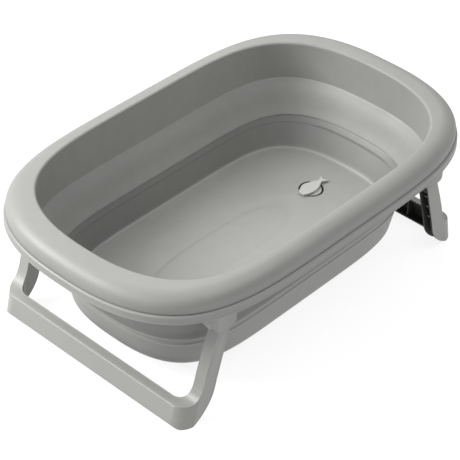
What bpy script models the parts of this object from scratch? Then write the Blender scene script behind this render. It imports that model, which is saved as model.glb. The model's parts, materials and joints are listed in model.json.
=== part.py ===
"""Folding baby bathtub: rolled-rim frame, collapsible soft band, base pan with a
drain plug, and two fold-under legs.  Metres, +Z up, length along X (drain end +X),
standing on z = 0."""
import math

import bmesh
import bpy
from mathutils import Vector

for _o in list(bpy.data.objects):
    bpy.data.objects.remove(_o, do_unlink=True)

# ---------------------------------------------------------------- dimensions
SEG = 48                      # points round the tub's long outlines

# Outlines are |x/A|^n + |y/B|^m = 1, written (A, B, n, m, z).
RIM_OUT = (0.4050, 0.2531, 4.495, 2.538, 0.2302)   # reference outline of rim and trim ring, at the rim's lower edge
RIM_CREST_IN = 0.0292         # crest line inset from the reference outline
RIM_CREST_Z = 0.2610
RIM_WIDE_IN = 0.0028          # the rim is widest here
RIM_WIDE_Z = 0.2395
RIM_FOOT_IN = 0.0031          # and tucks in a little down to its lower edge
RIM_CREASE = (0.3527, 0.2158, 4.720, 2.365, 0.2606)  # inner edge of the rim
WALL_FOOT = (0.3505, 0.2052, 5.870, 2.554, 0.1865)   # bottom of the rigid upper wall, inside
PAN_TOP = (0.3223, 0.1732, 5.990, 2.554, 0.1265)     # top of the base pan, inside
PAN_FLOOR = (0.2917, 0.1543, 5.780, 2.700, 0.0730)   # floor outline, inside
PAN_OUT_TOP = (0.3255, 0.1764, 5.990, 2.554, 0.1265)
PAN_OUT_LOW = (0.3020, 0.1680, 5.720, 2.594, 0.0500)
PAN_BOTTOM = 0.0312
PAN_FOOT_R = 0.0188           # rounding of the pan's foot
SKIN = 0.0028                 # moulded wall
GAP = 0.0003

RING_TOP = 0.2296             # trim ring under the rim
RING_LOW = 0.2146
RING_PROUD = 0.0008           # beyond the reference outline, so it shows a thin ledge under the rim

FLOOR_Z = PAN_FLOOR[4]
DRAIN_X = 0.1990
DRAIN_R = 0.0226
SEAT_FLANGE_R = 0.0285
PLUG_R = 0.0200

HINGE_U = 0.2565              # hinge axes at x = +-HINGE_U, along Y
HINGE_Z = 0.1780
PIN_R = 0.0030
LUG_R = 0.0125

LEG_OUT_Y = 0.2141            # outer side of the leg arms
LEG_IN_Y = 0.1935             # inner side
LEG_LUG_IN_Y = 0.2036
LEG_FRONT = 0.3543            # foremost line of the crossbar, low down
LEG_LEAN = 0.216              # its front leans back this much per unit of height
LEG_TOE_U, LEG_TOE_R = 0.3453, 0.0090   # rounded toe
LEG_BACK = 0.3308             # back of the crossbar
LEG_BOTTOM = 0.0022
LEG_WALL = 0.0030
LEG_R_OUT = 0.0330
LEG_R_IN = 0.0220
LUG_FOOT_Z = 0.1495           # below this the arm has its full width
LUG_SHOULDER_Z = 0.1640       # the arm's front keeps its width up to here

CHEEK_OUT = 0.2200            # bracket cheeks
CHEEK_OUT_IN = 0.2145
CHEEK_IN_OUT = 0.2032
CHEEK_IN = 0.2004

SCREW_AT = ((0.0, 1), (0.0, -1), (0.165, 1), (0.165, -1), (-0.165, 1), (-0.165, -1))
SCREW_IN = 0.0215             # screw line inside the rim's widest line
SCREW_END_X = 0.3745          # one at each end, on the long axis


# ---------------------------------------------------------------- helpers
def quadrant(A, B, n, m, count):
    """Points of one quarter outline, denser where it turns."""
    fine = 600
    pts = []
    for i in range(fine + 1):
        t = math.pi / 2 * i / fine
        pts.append((A * math.cos(t) ** (2 / n) if i < fine else 0.0, B * math.sin(t) ** (2 / m) if i else 0.0))
    length, turn, last = [0.0], [0.0], math.pi / 2
    for i in range(1, fine + 1):
        dx, dy = pts[i][0] - pts[i - 1][0], pts[i][1] - pts[i - 1][1]
        length.append(length[-1] + math.hypot(dx, dy))
        a = math.atan2(dy, dx)
        turn.append(turn[-1] + max(0.0, a - last))
        last = max(last, a)
    w = [length[i] / length[-1] + 1.0 * turn[i] / max(turn[-1], 1e-9) for i in range(fine + 1)]
    out, j = [], 0
    for k in range(count):
        want = w[-1] * k / count
        while w[j + 1] < want:
            j += 1
        f = (want - w[j]) / max(w[j + 1] - w[j], 1e-12)
        out.append((pts[j][0] + f * (pts[j + 1][0] - pts[j][0]), pts[j][1] + f * (pts[j + 1][1] - pts[j][1])))
    return out


def outline(r, seg=SEG):
    A, B, n, m, z = r
    q = quadrant(A, B, n, m, seg // 4)
    q2 = [(B_, A_) for A_, B_ in q]
    one = q + [(0.0, B)]
    left = [(-x, y) for x, y in reversed(one)]
    top = one[:-1] + left[:-1]
    full = top + [(-x, -y) for x, y in top]
    return [Vector((x, y, z)) for x, y in full]


def grow(r, by, z=None):
    return (r[0] + by, r[1] + by, r[2], r[3], r[4] if z is None else z)


def mix(a, b, t, z=None):
    m = tuple(a[i] + (b[i] - a[i]) * t for i in range(5))
    return m if z is None else m[:4] + (z,)


def mesh_object(name, verts, faces):
    me = bpy.data.meshes.new(name)
    me.from_pydata([tuple(v) for v in verts], [], faces)
    bm = bmesh.new()
    bm.from_mesh(me)
    bmesh.ops.remove_doubles(bm, verts=bm.verts, dist=1e-6)
    bmesh.ops.dissolve_degenerate(bm, dist=1e-7, edges=bm.edges)
    bmesh.ops.recalc_face_normals(bm, faces=bm.faces)
    bm.to_mesh(me)
    bm.free()
    ob = bpy.data.objects.new(name, me)
    bpy.context.scene.collection.objects.link(ob)
    return ob


def loft(name, rings, closed=True, seg=SEG):
    """Skin of successive outlines; closed joins the last to the first, else both ends are capped."""
    verts, faces = [], []
    for r in rings:
        verts += outline(r, seg)
    k = len(rings)
    for i in range(k if closed else k - 1):
        a, b = i * seg, (i + 1) % k * seg
        for j in range(seg):
            j2 = (j + 1) % seg
            faces.append((a + j, a + j2, b + j2, b + j))
    if not closed:
        faces.append(tuple(range(seg)))
        faces.append(tuple(range((k - 1) * seg, k * seg)))
    return mesh_object(name, verts, faces)


def turned(name, profile, at=(0, 0, 0), axis="Z", seg=24):
    """Solid of revolution from (radius, height) pairs; a zero radius makes a tip."""
    verts, faces, rows = [], [], []
    for r, h in profile:
        if r < 1e-9:
            rows.append([len(verts)])
            verts.append((0, 0, h))
        else:
            rows.append(list(range(len(verts), len(verts) + seg)))
            verts += [(r * math.cos(2 * math.pi * i / seg), r * math.sin(2 * math.pi * i / seg), h) for i in range(seg)]
    tips = len(rows[0]) == 1
    pairs = list(zip(rows, rows[1:])) + ([] if tips else [(rows[-1], rows[0])])
    for a, b in pairs:
        for i in range(seg):
            j = (i + 1) % seg
            if len(a) == 1 and len(b) == 1:
                continue
            if len(a) == 1:
                faces.append((a[0], b[j], b[i]))
            elif len(b) == 1:
                faces.append((a[i], a[j], b[0]))
            else:
                faces.append((a[i], a[j], b[j], b[i]))
    if axis == "Y":
        verts = [(x, h, -y) for x, y, h in verts]
    return mesh_object(name, [(x + at[0], y + at[1], z + at[2]) for x, y, z in verts], faces)


def prism(name, poly, lo, hi, axis="Y"):
    """poly in (u, v) pulled along the axis: Y -> (x, z), X -> (y, z), Z -> (x, y)."""
    def put(p, d):
        return {"Y": (p[0], d, p[1]), "X": (d, p[0], p[1]), "Z": (p[0], p[1], d)}[axis]
    k = len(poly)
    verts = [put(p, lo) for p in poly] + [put(p, hi) for p in poly]
    faces = [tuple(range(k)), tuple(range(k, 2 * k))]
    faces += [(i, (i + 1) % k, k + (i + 1) % k, k + i) for i in range(k)]
    return mesh_object(name, verts, faces)


def box(name, x0, x1, y0, y1, z0, z1):
    return prism(name, [(x0, y0), (x1, y0), (x1, y1), (x0, y1)], z0, z1, "Z")


def boolean(ob, other, how):
    m = ob.modifiers.new("b", "BOOLEAN")
    m.operation, m.solver, m.object = how, "EXACT", other
    dg = bpy.context.evaluated_depsgraph_get()
    me = bpy.data.meshes.new_from_object(ob.evaluated_get(dg))
    ob.modifiers.remove(m)
    ob.data = me
    bpy.data.objects.remove(other, do_unlink=True)
    bm = bmesh.new()
    bm.from_mesh(me)
    bmesh.ops.remove_doubles(bm, verts=bm.verts, dist=2e-6)
    bmesh.ops.dissolve_degenerate(bm, dist=1e-6, edges=bm.edges)
    bmesh.ops.dissolve_limit(bm, angle_limit=0.002, verts=bm.verts, edges=bm.edges)
    bmesh.ops.triangulate(bm, faces=bm.faces)
    bm.to_mesh(me)
    bm.free()
    return ob


def arc(cx, cy, r, a0, a1, steps):
    return [(cx + r * math.cos(math.radians(a0 + (a1 - a0) * i / steps)),
             cy + r * math.sin(math.radians(a0 + (a1 - a0) * i / steps))) for i in range(steps + 1)]


def material(name, rgb, rough):
    m = bpy.data.materials.new(name)
    m.use_nodes = True
    p = m.node_tree.nodes["Principled BSDF"]
    p.inputs["Base Color"].default_value = (*rgb, 1)
    p.inputs["Roughness"].default_value = rough
    return m


GREY = (0.40, 0.395, 0.375)
RUBBER = (0.18, 0.18, 0.175)


def paint(ob, rgb=GREY, rough=0.45):
    ob.data.materials.clear()
    ob.data.materials.append(material("mat_" + ob.name, rgb, rough))
    return ob


# ---------------------------------------------------------------- upper frame
def rim_ring(o, z):
    return (RIM_OUT[0] - o, RIM_OUT[1] - o, RIM_OUT[2], RIM_OUT[3], z)


def upper_frame():
    outer, inner = [rim_ring(RIM_FOOT_IN, RIM_OUT[4])], [rim_ring(RIM_FOOT_IN + SKIN, RIM_OUT[4])]
    wide, rise = RIM_CREST_IN - RIM_WIDE_IN, RIM_CREST_Z - RIM_WIDE_Z
    for k in range(6):
        th = math.pi / 2 * k / 5
        outer.append(rim_ring(RIM_CREST_IN - wide * math.cos(th), RIM_WIDE_Z + rise * math.sin(th)))
        inner.append(rim_ring(RIM_CREST_IN - (wide - SKIN) * math.cos(th), RIM_WIDE_Z + (rise - SKIN) * math.sin(th)))
    crest = outer[-1]
    top = [mix(crest, RIM_CREASE, 0.55, RIM_CREST_Z + 0.0001),
           mix(crest, RIM_CREASE, 0.86, RIM_CREST_Z - 0.0004),
           grow(RIM_CREASE, 0.0004, RIM_CREST_Z - 0.0022),
           grow(mix(RIM_CREASE, WALL_FOOT, 0.08), 0.0, RIM_CREST_Z - 0.0062)]
    wall = [mix(RIM_CREASE, WALL_FOOT, t) for t in (0.5, 1.0)]
    back = [grow(w, SKIN) for w in reversed(wall)]
    under = [grow(mix(RIM_CREASE, WALL_FOOT, 0.1), SKIN, RIM_CREST_Z - 0.0075),
             grow(RIM_CREASE, SKIN + 0.0018, RIM_CREST_Z - 0.0038),
             mix(inner[-1], grow(RIM_CREASE, SKIN), 0.55, RIM_CREST_Z - SKIN)]
    rings = outer + top + wall + back + under + list(reversed(inner))
    ob = loft("upper_frame", rings)
    for x, y in screw_places():
        top_z = 0.2583 if abs(y) > 0.01 else 0.2594
        boss = turned("boss", [(0, 0.2188), (0.0036, 0.2188), (0.0036, top_z), (0, top_z)], (x, y, 0), seg=10)
        ob = boolean(ob, boss, "UNION")
    for x, y in screw_places():
        hole = turned("hole", [(0, 0.20), (0.0019, 0.20), (0.0019, 0.2335), (0, 0.2350)], (x, y, 0), seg=10)
        ob = boolean(ob, hole, "DIFFERENCE")
    return paint(ob)


def screw_places():
    out = []
    for x, s in SCREW_AT:
        mid_b = (RIM_OUT[1] - SCREW_IN) * (1 - (abs(x) / (RIM_OUT[0] - SCREW_IN)) ** RIM_OUT[2]) ** (1 / RIM_OUT[3])
        out.append((x, s * mid_b))
    return out + [(SCREW_END_X, 0.0), (-SCREW_END_X, 0.0)]


def ring_screws():
    for n, (x, y) in enumerate(screw_places()):
        p = [(0, RING_LOW - 0.0012), (0.0026, RING_LOW - 0.0012), (0.0033, RING_LOW - 0.0006), (0.0033, RING_LOW + 0.0012),
             (0.0016, RING_LOW + 0.0012), (0.0016, 0.2325), (0, 0.2333)]
        paint(turned("ring_screw_%d" % (n + 1), p, (x, y, 0), seg=10), (0.5, 0.5, 0.5), 0.35)


# ---------------------------------------------------------------- trim ring and brackets
def lower_ring():
    face = RIM_OUT
    z = RING_LOW
    wall_at = (WALL_FOOT[4] - z) / (WALL_FOOT[4] - RIM_CREASE[4])
    wall = mix(WALL_FOOT, RIM_CREASE, wall_at, z)
    inner = grow(wall, SKIN + 0.0010)
    rings = [
        grow(face, RING_PROUD, z + 0.0014), grow(face, RING_PROUD, RING_TOP - 0.0016), grow(face, -0.0024, RING_TOP),
        grow(face, -0.0063, RING_TOP), grow(face, -0.0066, RING_TOP + 0.0060), grow(face, -0.0088, RING_TOP + 0.0060),
        grow(face, -0.0090, z + 0.0045), grow(face, -0.0099, z + SKIN),
        grow(wall, SKIN + 0.0036, z + SKIN), grow(wall, SKIN + 0.0034, z + 0.0072), grow(wall, SKIN + 0.0014, z + 0.0072),
        inner, grow(face, -0.0064, z), grow(face, RING_PROUD - 0.0012, z),
    ]
    ob = loft("lower_ring", rings)
    for sx in (-1, 1):
        for sy in (-1, 1):
            side = [(0.2400, z + 0.0012), (0.2400, 0.1750), (0.2440, 0.1712), (0.2520, 0.1678), (0.2700, 0.1655), (0.2770, 0.1675), (0.2800, 0.1715), (0.2800, z + 0.0012)]
            y = sorted((sy * CHEEK_IN, sy * CHEEK_OUT))
            br = prism("bracket", [(sx * u, v) for u, v in side], y[0], y[1], "Y")
            y = sorted((sy * CHEEK_IN_OUT, sy * CHEEK_OUT_IN))
            slot = prism("slot", [(sx * u, v) for u, v in ((0.2350, 0.1550), (0.2758, 0.1550), (0.2758, 0.2000), (0.2690, 0.2105), (0.2350, 0.2105))], y[0], y[1], "Y")
            br = boolean(br, slot, "DIFFERENCE")
            y = sorted((sy * (CHEEK_IN - 0.001), sy * (CHEEK_IN_OUT + 0.0002)))
            trim = prism("trim", [(sx * u, v) for u, v in ((0.2380, 0.1550), (0.2490, 0.1550), (0.2490, 0.2200), (0.2380, 0.2200))], y[0], y[1], "Y")
            br = boolean(br, trim, "DIFFERENCE")
            # front plate, wider than the arm behind it
            plate = [(sy * v, h) for v, h in ((0.1830, 0.1713), (0.1935, 0.1680), (0.2040, 0.1680), (0.2040, z + 0.0012), (0.1907, z + 0.0012), (0.1907, 0.1845), (0.1830, 0.1735))]
            x = sorted((sx * 0.2762, sx * 0.2800))
            br = boolean(br, prism("plate", plate, x[0], x[1], "X"), "UNION")
            y = sorted((sy * (CHEEK_IN - 0.003), sy * (CHEEK_OUT_IN + 0.0042)))
            bore = turned("bore", [(0, y[0]), (PIN_R + GAP, y[0]), (PIN_R + GAP, y[1]), (0, y[1])], (sx * HINGE_U, 0, HINGE_Z), "Y", 14)
            br = boolean(br, bore, "DIFFERENCE")
            ob = boolean(ob, br, "UNION")
    for x, y in screw_places():
        hole = turned("hole", [(0, 0.20), (0.0037, 0.20), (0.0037, z + 0.0015), (0.0020, z + 0.0015), (0.0020, z + 0.010), (0, z + 0.010)], (x, y, 0), seg=10)
        ob = boolean(ob, hole, "DIFFERENCE")
    return paint(ob)


# ---------------------------------------------------------------- soft band
BAND_TOP_Z = WALL_FOOT[4] - GAP
BAND_LOW_Z = PAN_TOP[4] + GAP
BAND_T = 0.0022


def fold_band():
    top = grow(WALL_FOOT, -0.0006, BAND_TOP_Z)
    low = grow(PAN_TOP, -0.0004, BAND_LOW_Z)
    drop = BAND_TOP_Z - BAND_LOW_Z
    # how far in the wall has come, against how far down it is
    shape = ((0.0, 0.0), (0.10, 0.035), (0.30, 0.22), (0.52, 0.47), (0.74, 0.73), (0.90, 0.93), (1.0, 1.0))
    face = [mix(top, low, s, BAND_TOP_Z - drop * d) for d, s in shape]
    back = [grow(r, BAND_T) for r in face]
    back[0] = grow(face[0], BAND_T + 0.0006)
    back[-1] = grow(face[-1], BAND_T + 0.0010)
    return paint(loft("fold_band", face + list(reversed(back))), (0.42, 0.415, 0.40), 0.35)


# ---------------------------------------------------------------- base pan
def base_pan():
    floor = PAN_FLOOR
    fillet = 0.0050
    rings = [(0.150, 0.060, 2.6, 2.4, FLOOR_Z - 0.0012), (0.196, 0.092, 3.2, 2.5, FLOOR_Z - 0.0012), (0.202, 0.097, 3.2, 2.5, FLOOR_Z - 0.0002),
             grow(floor, -fillet - 0.0020, FLOOR_Z)]
    slope_a = (PAN_TOP[0] - floor[0]) / (PAN_TOP[4] - FLOOR_Z)
    for k in (1, 2):
        th = math.radians(60.0 * k / 2)
        rings.append(grow(floor, -fillet * (1 - math.sin(th)) + 0.0006 * k, FLOOR_Z + fillet * (1 - math.cos(th))))
    rings += [mix(floor, PAN_TOP, 0.60), grow(PAN_TOP, -0.0002, PAN_TOP[4] - 0.0012), grow(PAN_TOP, 0.0008, PAN_TOP[4])]
    rings += [grow(PAN_OUT_TOP, -0.0006, PAN_TOP[4])]
    rings += [grow(PAN_OUT_TOP, 0.0, PAN_TOP[4] - 0.0010)]

    def out(z, by=0.0):
        return grow(mix(PAN_OUT_TOP, PAN_OUT_LOW, (PAN_OUT_TOP[4] - z) / (PAN_OUT_TOP[4] - PAN_OUT_LOW[4]), z), by)
    rings += [out(0.1010), out(0.0950), out(0.0932, 0.0012), out(0.0912, 0.0012), out(0.0897), out(PAN_BOTTOM + PAN_FOOT_R)]
    for k in (1, 2, 3):
        th = math.radians(90.0 * k / 3)
        rings.append(out(PAN_BOTTOM + PAN_FOOT_R, -PAN_FOOT_R * (1 - math.cos(th)))[:4] + (PAN_BOTTOM + PAN_FOOT_R * (1 - math.sin(th)),))
    flat = out(PAN_BOTTOM + PAN_FOOT_R, -PAN_FOOT_R)
    rings += [grow(flat, -0.0120, PAN_BOTTOM), grow(flat, -0.0120, PAN_BOTTOM + SKIN)]
    for k in (3, 0):
        th = math.radians(90.0 * k / 3)
        r = PAN_FOOT_R - SKIN
        rings.append(out(PAN_BOTTOM + PAN_FOOT_R, -PAN_FOOT_R + r * math.cos(th))[:4] + (PAN_BOTTOM + PAN_FOOT_R - r * math.sin(th),))
    rings += [out(0.0970, -SKIN - 0.0003), grow(mix(floor, PAN_TOP, (0.0970 - FLOOR_Z) / (PAN_TOP[4] - FLOOR_Z)), SKIN + 0.0008, 0.0970),
              grow(floor, SKIN + 0.0002, FLOOR_Z + 0.0035), grow(floor, -0.0010, FLOOR_Z - SKIN), (0.150, 0.060, 2.6, 2.4, FLOOR_Z - SKIN - 0.0002)]
    ob = loft("base_pan", rings, closed=False)
    # seat for the drain: the floor is level and full thickness round the hole
    pad = turned("pad", [(0, FLOOR_Z - 0.0032), (0.034, FLOOR_Z - 0.0032), (0.034, FLOOR_Z - 0.0002), (0, FLOOR_Z - 0.0002)], (DRAIN_X, 0, 0), seg=24)
    ob = boolean(ob, pad, "UNION")
    hole = turned("hole", [(0, 0.05), (DRAIN_R, 0.05), (DRAIN_R, 0.09), (0, 0.09)], (DRAIN_X, 0, 0), seg=24)
    ob = boolean(ob, hole, "DIFFERENCE")
    return paint(ob)


def band_clamp():
    def out(z, by):
        return grow(mix(PAN_OUT_TOP, PAN_OUT_LOW, (PAN_OUT_TOP[4] - z) / (PAN_OUT_TOP[4] - PAN_OUT_LOW[4]), z), by)
    g = 0.0004
    rings = [out(0.1082, g), out(0.1265, g), out(0.1272, g + 0.0006), out(0.1300, g + 0.0022), out(0.1300, g + 0.0042), out(0.1265, 0.0042), out(0.1136, 0.0036),
             out(0.1118, 0.0046), out(0.1096, 0.0046), out(0.1082, 0.0036)]
    return paint(loft("band_clamp", rings))


# ---------------------------------------------------------------- drain
def drain_seat():
    r = DRAIN_R - GAP
    top = FLOOR_Z - 0.0004
    under = FLOOR_Z - 0.0032 - GAP
    p = [(0.0090, 0.0520), (r - 0.0010, 0.0520), (r, 0.0530), (r, under - 0.0030), (SEAT_FLANGE_R, under - 0.0030), (SEAT_FLANGE_R, under),
         (r, under), (r, top), (0.0212, top), (0.0206, top - 0.0060), (0.0166, top - 0.0100), (0.0166, 0.0560), (0.0090, 0.0560)]
    return paint(turned("drain_seat", p, (DRAIN_X, 0, 0), seg=24), (0.30, 0.295, 0.28), 0.5)


def drain_plug():
    top = FLOOR_Z + 0.0002
    p = [(0, 0.0615), (0.0128, 0.0615), (0.0135, 0.0624), (0.0135, 0.0640), (0.0162, 0.0640), (PLUG_R - 0.0010, top - 0.0048), (PLUG_R, top - 0.0030), (PLUG_R, top - 0.0008), (PLUG_R - 0.0008, top), (0.0135, top), (0.0125, top + 0.0016), (0, top + 0.0016)]
    ob = turned("drain_plug", p, (DRAIN_X, 0, 0), seg=24)
    ob = boolean(ob, prism("grip", grip_outline(), top + 0.0008, top + 0.0050, "Z"), "UNION")
    return paint(ob, (0.62, 0.615, 0.60), 0.4)


def grip_outline():
    """Flat finger grip: a lens-shaped body with a blunt nose and a two-point tail."""
    body = [(-0.0275, 0.0062), (-0.0180, 0.0108), (-0.0070, 0.0128), (0.0040, 0.0120), (0.0140, 0.0088), (0.0215, 0.0042), (0.0262, 0.0036), (0.0365, 0.0098)]
    tail = [(0.0330, 0.0)]
    pts = body + tail + [(x, -y) for x, y in reversed(body)]
    return [(DRAIN_X + x, y) for x, y in pts]


def plug_seal():
    p = [(0.0138, 0.0622), (0.0156, 0.0616), (0.0162, 0.0624), (0.0162, 0.0633), (0.0156, 0.0637), (0.0138, 0.0636)]
    return paint(turned("plug_seal", p, (DRAIN_X, 0, 0), seg=24), RUBBER, 0.7)


# ---------------------------------------------------------------- legs
def arm_front(z):
    return 0.2763 + 0.3525 * (0.1600 - z)


def arm_back(z):
    return 0.2484 + 0.2990 * (0.1600 - z)


# front of the arm: nearly straight, then a wide hollow curve onto the crossbar's ledge
ARM_CURVE = [(arm_front(0.1600), 0.1600), (0.2860, 0.1330), (0.2935, 0.1120), (0.2990, 0.0950), (0.3022, 0.0840), (0.3045, 0.0750), (0.3070, 0.0672),
             (0.3104, 0.0598), (0.3150, 0.0533), (0.3208, 0.0483), (0.3275, 0.0453), (0.3345, 0.0440)]


def leg_side():
    """Side profile (u outward, z up) of arm and foot."""
    top = arc(HINGE_U, HINGE_Z, LUG_R, 200, 20, 7)
    toe = [(0.3420, 0.0431), (0.3464, 0.0420), (0.3483, 0.0388)] + arc(LEG_TOE_U, LEG_BOTTOM + LEG_TOE_R, LEG_TOE_R, 12, -90, 5)
    heel = [(0.3270, LEG_BOTTOM), (0.3200, 0.0055), (0.3128, 0.0091), (0.3038, 0.0157), (0.2953, 0.0238), (0.2885, 0.0327), (0.2828, 0.0430), (0.2788, 0.0552)]
    back = [(arm_back(0.0720), 0.0720), (arm_back(0.1600), 0.1600)]
    return top + ARM_CURVE + toe + heel + back


def leg_cavity_side():
    """Profile of the hollow: set in from the front, top and bottom, open at the back."""
    w = LEG_WALL
    front = [(arm_front(0.1465) - w, 0.1465), (0.2829, 0.1322), (0.2904, 0.1112), (0.2959, 0.0943), (0.2992, 0.0833), (0.3016, 0.0742), (0.3043, 0.0659),
             (0.3080, 0.0581), (0.3130, 0.0510), (0.3196, 0.0456), (0.3270, 0.0424), (0.3343, 0.0410)]
    toe = [(0.3412, 0.0402), (0.3438, 0.0392), (0.3453, 0.0372)] + arc(LEG_TOE_U, LEG_BOTTOM + LEG_TOE_R, LEG_TOE_R - w, 12, -90, 3)
    back = [(0.2450, LEG_BOTTOM + w), (0.2350, 0.1465)]
    return front + toe + back


def leg_outer_plan(inset=0.0, steps=6):
    """Plan of the frame's outside: two arms running outward and the rounded corners of the crossbar."""
    yo, r, f = LEG_OUT_Y - inset, LEG_R_OUT - inset, LEG_FRONT - inset
    return [(0.1700, -yo)] + arc(f - r, -yo + r, r, -90, 0, steps) + arc(f - r, yo - r, r, 0, 90, steps) + [(0.1700, yo)]


def leg_window_plan():
    """Plan of the opening between the arms."""
    yi, b, r = LEG_IN_Y, LEG_BACK, LEG_R_IN
    return [(0.1500, -yi)] + arc(b - r, -yi + r, r, -90, 0, 4) + arc(b - r, yi - r, r, 0, 90, 4) + [(0.1500, yi)]


def leg_cavity_window():
    """Plan of what the hollow leaves standing round the opening."""
    yi = LEG_IN_Y + LEG_WALL
    half = [(0.1500, yi), (0.3130, yi), (0.3200, yi - 0.0035), (0.3262, yi - 0.0095), (0.3285, yi - 0.0160)]
    return half + [(u, -v) for u, v in reversed(half)]


def leaned(ob, sx):
    """Lean an upright prism back with height, about the toe's foremost line."""
    for v in ob.data.vertices:
        v.co.x -= sx * LEG_LEAN * (v.co.z - LEG_BOTTOM - LEG_TOE_R)
    return ob


def leg(name, sx):
    def m(poly):
        return [(sx * u, v) for u, v in poly]
    ob = prism(name, m(leg_side()), -LEG_OUT_Y - 0.01, LEG_OUT_Y + 0.01, "Y")
    ob = boolean(ob, leaned(prism("plan", m(leg_outer_plan()), -0.02, 0.21, "Z"), sx), "INTERSECT")
    ob = boolean(ob, prism("window", m(leg_window_plan()), -0.02, 0.21, "Z"), "DIFFERENCE")
    thin = [(0.2200, LUG_FOOT_Z), (arm_back(LUG_FOOT_Z), LUG_FOOT_Z), (0.2530, LUG_SHOULDER_Z), (0.3100, LUG_SHOULDER_Z), (0.3100, 0.2100), (0.2200, 0.2100)]
    ob = boolean(ob, prism("thin", m(thin), -LEG_LUG_IN_Y, LEG_LUG_IN_Y, "Y"), "DIFFERENCE")
    swing = turned("swing", [(0, -LEG_LUG_IN_Y), (0.0162, -LEG_LUG_IN_Y), (0.0162, LEG_LUG_IN_Y), (0, LEG_LUG_IN_Y)], (sx * HINGE_U, 0, HINGE_Z), "Y", 24)
    ob = boolean(ob, swing, "DIFFERENCE")
    cav = prism("cav", m(leg_cavity_side()), -LEG_OUT_Y - 0.02, LEG_OUT_Y + 0.02, "Y")
    cav = boolean(cav, leaned(prism("cavplan", m(leg_outer_plan(LEG_WALL)), -0.03, 0.20, "Z"), sx), "INTERSECT")
    cav = boolean(cav, prism("cavwindow", m(leg_cavity_window()), -0.04, 0.22, "Z"), "DIFFERENCE")
    # stiffening ribs left standing in the hollow
    for z in (0.0700, 0.0960, 0.1220):
        for sy in (-1, 1):
            a, b = sorted((sy * (LEG_IN_Y + 0.001), sy * (LEG_OUT_Y - 0.001)))
            rib = prism("rib", m([(arm_back(z) + 0.0090, z + 0.0040), (arm_front(z) + 0.002, z - 0.0040), (arm_front(z) + 0.002, z - 0.0062), (arm_back(z) + 0.0090, z + 0.0018)]), a, b, "Y")
            cav = boolean(cav, rib, "DIFFERENCE")
    for y in (-0.120, -0.040, 0.040, 0.120):
        rib = box("rib", *sorted((sx * 0.3335, sx * 0.3535)), y - 0.0011, y + 0.0011, 0.001, 0.046)
        cav = boolean(cav, rib, "DIFFERENCE")
    ob = boolean(ob, cav, "DIFFERENCE")
    bore = turned("bore", [(0, -0.23), (PIN_R + GAP, -0.23), (PIN_R + GAP, 0.23), (0, 0.23)], (sx * HINGE_U, 0, HINGE_Z), "Y", 14)
    ob = boolean(ob, bore, "DIFFERENCE")
    return paint(ob)


def pins_and_pads():
    for side, sx in (("left", -1), ("right", 1)):
        for end, sy in (("front", -1), ("back", 1)):
            a, b = sorted((sy * (CHEEK_IN - 0.0006), sy * (CHEEK_OUT_IN + 0.0038)))
            paint(turned("hinge_pin_%s_%s" % (side, end), [(0, a), (PIN_R, a), (PIN_R, b), (0, b)], (sx * HINGE_U, 0, HINGE_Z), "Y", 14), (0.55, 0.55, 0.55), 0.3)
            lo, hi = sorted((sy * 0.0950, sy * 0.1650))
            x0, x1 = sorted((sx * 0.3320, sx * 0.3440))
            pts = arc(x0 + 0.003, lo + 0.003, 0.003, 180, 270, 3) + arc(x1 - 0.003, lo + 0.003, 0.003, 270, 360, 3) + arc(x1 - 0.003, hi - 0.003, 0.003, 0, 90, 3) + arc(x0 + 0.003, hi - 0.003, 0.003, 90, 180, 3)
            paint(prism("foot_pad_%s_%s" % (side, end), pts, 0.0, LEG_BOTTOM - GAP, "Z"), RUBBER, 0.8)


upper_frame()
lower_ring()
ring_screws()
fold_band()
base_pan()
band_clamp()
drain_seat()
drain_plug()
plug_seal()
leg("leg_left", -1)
leg("leg_right", 1)
pins_and_pads()


def empty(name, at):
    e = bpy.data.objects.new(name, None)
    e.location = at
    e.empty_display_size = 0.02
    bpy.context.scene.collection.objects.link(e)
    return e


groups = {
    "frame": ((0, 0, RING_LOW), ["upper_frame", "lower_ring", "fold_band"] + ["ring_screw_%d" % (i + 1) for i in range(8)]
              + ["hinge_pin_%s_%s" % (s, e) for s in ("left", "right") for e in ("front", "back")]),
    "base": ((0, 0, PAN_BOTTOM), ["base_pan", "band_clamp", "drain_seat"]),
    "plug": ((DRAIN_X, 0, FLOOR_Z), ["drain_plug", "plug_seal"]),
    "left_leg": ((-HINGE_U, 0, HINGE_Z), ["leg_left", "foot_pad_left_front", "foot_pad_left_back"]),
    "right_leg": ((HINGE_U, 0, HINGE_Z), ["leg_right", "foot_pad_right_front", "foot_pad_right_back"]),
}
bpy.context.view_layer.update()
for g, (at, names) in groups.items():
    e = empty("axis_" + g, at)
    bpy.context.view_layer.update()
    for n in names:
        ob = bpy.data.objects[n]
        ob.parent = e
        ob.matrix_parent_inverse = e.matrix_world.inverted()
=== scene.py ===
"""Looks for the folding baby bathtub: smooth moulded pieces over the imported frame."""
import json
import math

import bmesh
import bpy
from mathutils import Matrix, Vector

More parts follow.
